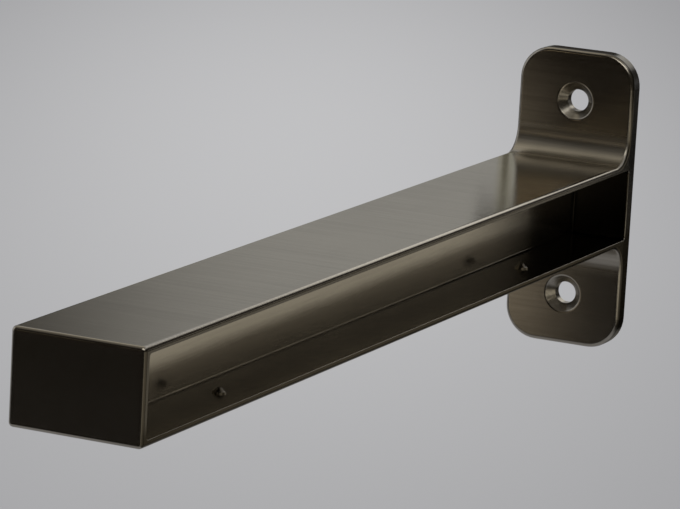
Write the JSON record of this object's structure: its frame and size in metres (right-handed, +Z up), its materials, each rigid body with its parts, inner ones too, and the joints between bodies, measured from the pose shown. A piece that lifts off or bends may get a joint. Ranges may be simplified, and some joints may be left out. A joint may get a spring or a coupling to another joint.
{
  "type": "shelf bracket",
  "caption": "Cast metal shelf bracket: a round-cornered wall plate with countersunk screw holes, and a straight arm that is recessed on each side of a central web.",
  "frame": {"origin": "middle of the wall plate's back face, on the wall, at the height of the arm's centre line", "axes": "+Y into the wall, so the arm reaches out along -Y; +Z up; +X across the bracket"},
  "size_m": [0.03, 0.25, 0.073],
  "materials": {
    "metal": "satin brushed, warm grey"
  },
  "bodies": {
    "root": {"shelf_bracket": "metal"}
  },
  "joints": []
}
